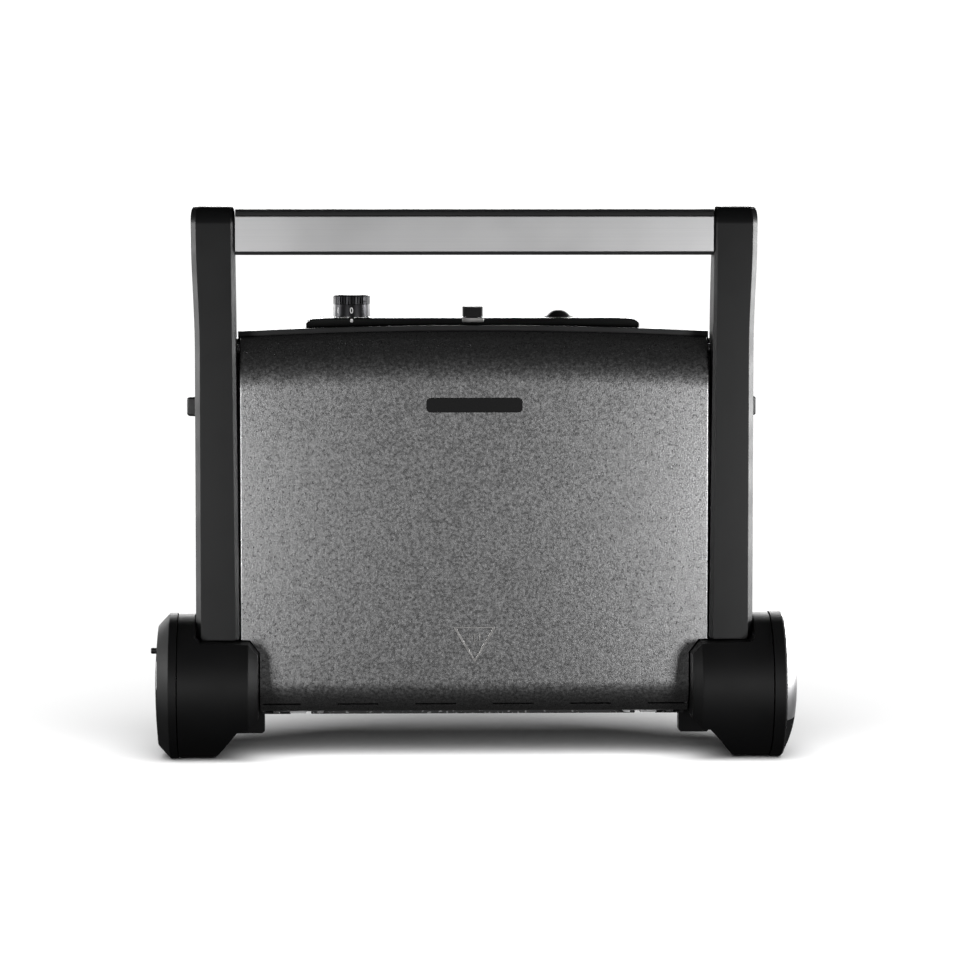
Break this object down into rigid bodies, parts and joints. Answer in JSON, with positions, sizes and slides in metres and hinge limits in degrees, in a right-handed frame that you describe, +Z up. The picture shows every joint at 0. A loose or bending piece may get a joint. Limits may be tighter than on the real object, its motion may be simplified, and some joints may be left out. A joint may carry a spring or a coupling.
{
  "type": "contact grill",
  "caption": "Upright sandwich press with a hinged lid between two side arms, a bar handle, round hinge drums and ribbed grill plates.",
  "frame": {"origin": "middle of the footprint on the surface that the upright grill stands on", "axes": "+X along the hinge axis to the right of the lid, +Y from the lid to the base's underside, +Z up along the closed arms to the handle"},
  "size_m": [0.4266, 0.1169, 0.3635],
  "materials": {
    "body_black": "satin",
    "gloss_black": "gloss",
    "rubber": "matt",
    "lid_metal": "fine metallic speckle",
    "aluminium_trim": "brushed",
    "steel": "brushed",
    "polished_cap": "satin polished",
    "nonstick": "die-cast with speckled non-stick coating",
    "marker_white": "satin",
    "ceramic": "matt"
  },
  "bodies": {
    "base": {"base_housing": "body_black", "bottom_cover": "body_black", "cover_screw_1": "steel", "cover_screw_2": "steel", "cover_screw_3": "steel", "cover_screw_4": "steel", "foot_front_left": "rubber", "foot_front_right": "rubber", "foot_rear_left": "rubber", "foot_rear_right": "rubber", "stand_foot_left": "rubber", "stand_foot_right": "rubber", "lower_plate": "nonstick", "lower_element": "steel", "lower_reflector": "steel", "thermostat": "ceramic", "control_panel": "gloss_black", "dial_marker": "marker_white", "latch_strip": "steel", "power_switch": "body_black", "cable_gland": "rubber", "hinge_housing_left": "body_black", "hinge_housing_right": "body_black", "end_cap_left": "gloss_black", "end_cap_right": "polished_cap", "hinge_axle_left": "steel", "hinge_axle_right": "steel"},
    "arms": {"hinge_drum_left": "body_black", "hinge_drum_right": "body_black", "arm_left": "body_black", "arm_right": "body_black", "handle_core": "body_black", "handle_trim": "aluminium_trim", "pivot_pin_left": "steel", "pivot_pin_right": "steel"},
    "lid": {"lid_cover": "lid_metal", "lid_frame": "body_black", "upper_plate": "nonstick", "upper_element": "steel", "upper_reflector": "steel", "badge": "gloss_black", "hot_surface_mark": "steel", "plate_clip_left": "steel", "plate_clip_right": "steel"},
    "knob": {"temperature_knob": "gloss_black", "knob_shaft": "steel"},
    "button": {"power_button": "gloss_black"},
    "latch": {"storage_latch": "body_black"},
    "release_left": {"plate_release_left": "body_black", "release_spring_left": "steel"},
    "release_right": {"plate_release_right": "body_black", "release_spring_right": "steel"},
    "hinge_pin": {"hinge_release_pin": "body_black"},
    "tray": {"drip_tray": "body_black"}
  },
  "joints": [
    {"name": "arm_hinge", "type": "hinge", "parent": "base", "child": "arms", "pos_m": [0, -0.0105, 0.0475], "axis": [1, 0, 0], "range_deg": [0, 180]},
    {"name": "lid_float", "type": "hinge", "parent": "arms", "child": "lid", "pos_m": [0, -0.0045, 0.2695], "axis": [-1, 0, 0], "range_deg": [0, 6]},
    {"name": "temperature_knob", "type": "hinge", "parent": "base", "child": "knob", "pos_m": [-0.0805, 0.0315, 0.2892], "axis": [0, 0, 1], "range_deg": [-270, 0]},
    {"name": "power_button", "type": "slide", "parent": "base", "child": "button", "axis": [0, 0, -1], "range_m": [0, 0.0015], "stiffness_N_per_m": 300, "springref_m": -0.001},
    {"name": "storage_latch", "type": "slide", "parent": "base", "child": "latch", "axis": [0, -1, 0], "range_m": [0, 0.005]},
    {"name": "plate_release_left", "type": "slide", "parent": "base", "child": "release_left", "axis": [1, 0, 0], "range_m": [0, 0.004], "stiffness_N_per_m": 300, "springref_m": -0.002},
    {"name": "plate_release_right", "type": "slide", "parent": "base", "child": "release_right", "axis": [-1, 0, 0], "range_m": [0, 0.004], "stiffness_N_per_m": 300, "springref_m": -0.002},
    {"name": "hinge_release_pin", "type": "slide", "parent": "base", "child": "hinge_pin", "axis": [1, 0, 0], "range_m": [0, 0.002], "stiffness_N_per_m": 300, "springref_m": -0.001},
    {"name": "drip_tray", "type": "slide", "parent": "base", "child": "tray", "axis": [0, 0, -1], "range_m": [0, 0.05]}
  ]
}
